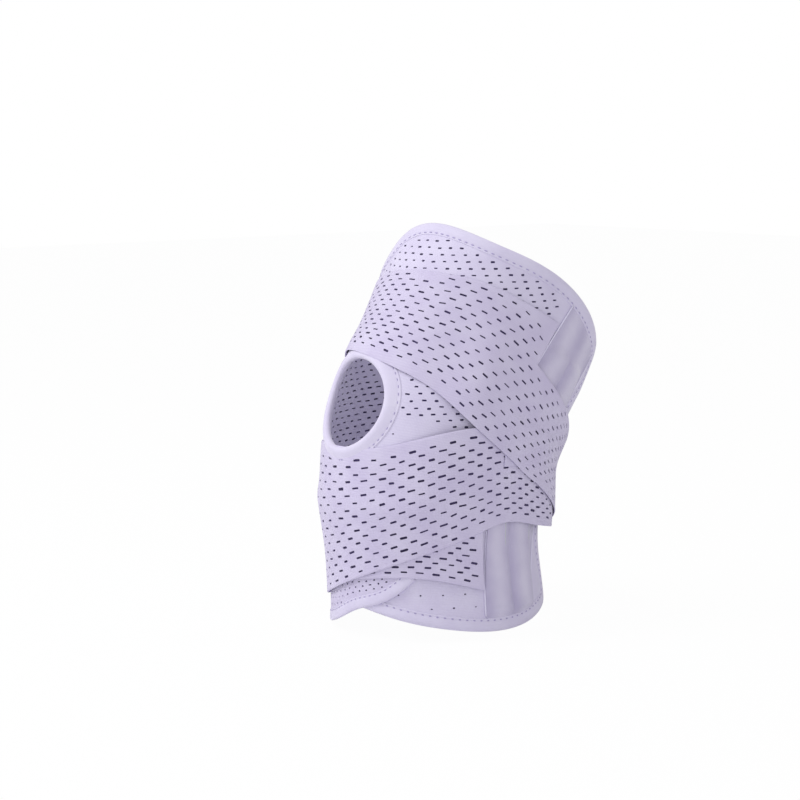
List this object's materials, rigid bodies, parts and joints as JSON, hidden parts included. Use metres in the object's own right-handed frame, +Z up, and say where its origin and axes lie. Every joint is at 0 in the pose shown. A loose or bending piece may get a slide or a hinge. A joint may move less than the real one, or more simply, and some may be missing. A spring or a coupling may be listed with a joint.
{
  "type": "open patella knee support",
  "caption": "Padded, perforated wrap for a bent knee, with an open kneecap ring, side stays in pockets and elastic bands that cross at the side.",
  "frame": {"origin": "middle of the leg at the calf hem", "axes": "+Z up the calf, -Y the front of the knee, +X the outer (lateral) side; the thigh leans 30 degrees towards +Y"},
  "size_m": [0.1495, 0.199, 0.2732],
  "materials": {
    "panel_mesh": "perforated brushed knit",
    "ring_fabric": "smooth padded knit",
    "hem_fabric": "folded knit binding, stitched",
    "pocket_fabric": "smooth satin knit",
    "stay_steel": "spring steel",
    "cap_plastic": "moulded",
    "band_elastic": "perforated elastic",
    "patch_fabric": "stiffened knit",
    "tab_fabric": "smooth knit, stitched",
    "hook_plastic": "hook tape",
    "loop_fabric": "brushed loop"
  },
  "bodies": {
    "sleeve": {"main_panel": "panel_mesh", "patella_ring": "ring_fabric", "top_binding": "hem_fabric", "bottom_binding": "hem_fabric", "front_flap": "panel_mesh", "flap_binding": "hem_fabric", "lateral_pocket": "pocket_fabric", "medial_pocket": "pocket_fabric", "lateral_front_stay": "stay_steel", "lateral_rear_stay": "stay_steel", "medial_front_stay": "stay_steel", "medial_rear_stay": "stay_steel", "stay_end_caps": "cap_plastic", "upper_band": "band_elastic", "lower_band": "band_elastic", "bottom_band": "band_elastic", "cross_patch": "patch_fabric", "rear_elastic": "band_elastic", "calf_loop_patch": "loop_fabric", "thigh_loop_patch": "loop_fabric"},
    "upper_tab": {"upper_band_tab": "tab_fabric", "upper_tab_hook": "hook_plastic"},
    "lower_tab": {"lower_band_tab": "tab_fabric", "lower_tab_hook": "hook_plastic"}
  },
  "joints": [
    {"name": "upper_tab_peel", "type": "hinge", "parent": "sleeve", "child": "upper_tab", "pos_m": [-0.05984, 0.04291, 0.07059], "axis": [0.0158, -0.0785, -0.9968], "range_deg": [0, 70]},
    {"name": "lower_tab_peel", "type": "hinge", "parent": "sleeve", "child": "lower_tab", "pos_m": [-0.06217, 0.05029, 0.11853], "axis": [0.0504, -0.4818, -0.8748], "range_deg": [0, 70]}
  ]
}
